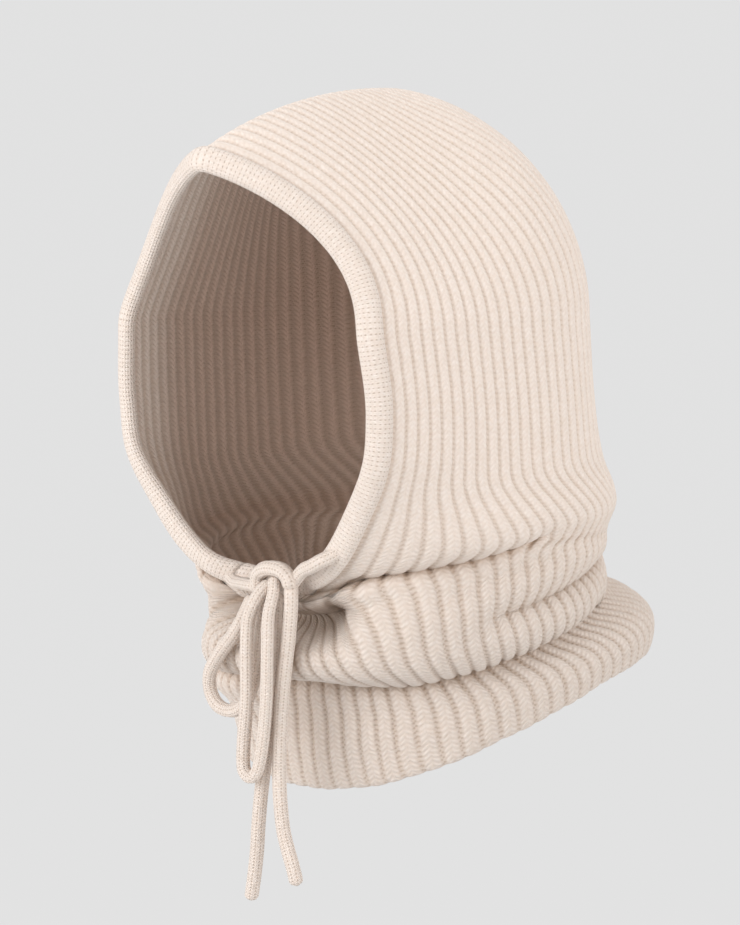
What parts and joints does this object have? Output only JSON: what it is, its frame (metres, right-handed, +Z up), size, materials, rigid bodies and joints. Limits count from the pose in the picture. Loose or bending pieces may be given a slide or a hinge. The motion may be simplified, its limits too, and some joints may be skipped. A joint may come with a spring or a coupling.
{
  "type": "knit hood",
  "caption": "Ribbed knit hood with a bound face opening, a slouched neck tube and a tubular cord tied in a bow under the chin.",
  "frame": {"origin": "inside of the crown's top, the point that rests on the top of the head", "axes": "+Z up, the wearer faces -Y, and +X is the wearer's left"},
  "size_m": [0.2091, 0.3264, 0.4159],
  "materials": {
    "rib_knit": "soft rib knit, matt with a fine fuzz",
    "binding_knit": "plain knit casing, matt with a fine fuzz",
    "cord_knit": "knitted tubular cord, matt"
  },
  "bodies": {
    "root": {"hood_body": "rib_knit", "face_binding": "binding_knit", "bow_knot": "cord_knit", "cord_link_left": "cord_knit", "cord_link_right": "cord_knit", "bow_loop_long": "cord_knit", "bow_loop_short": "cord_knit", "cord_tail_left": "cord_knit", "cord_tail_right": "cord_knit"}
  },
  "joints": []
}
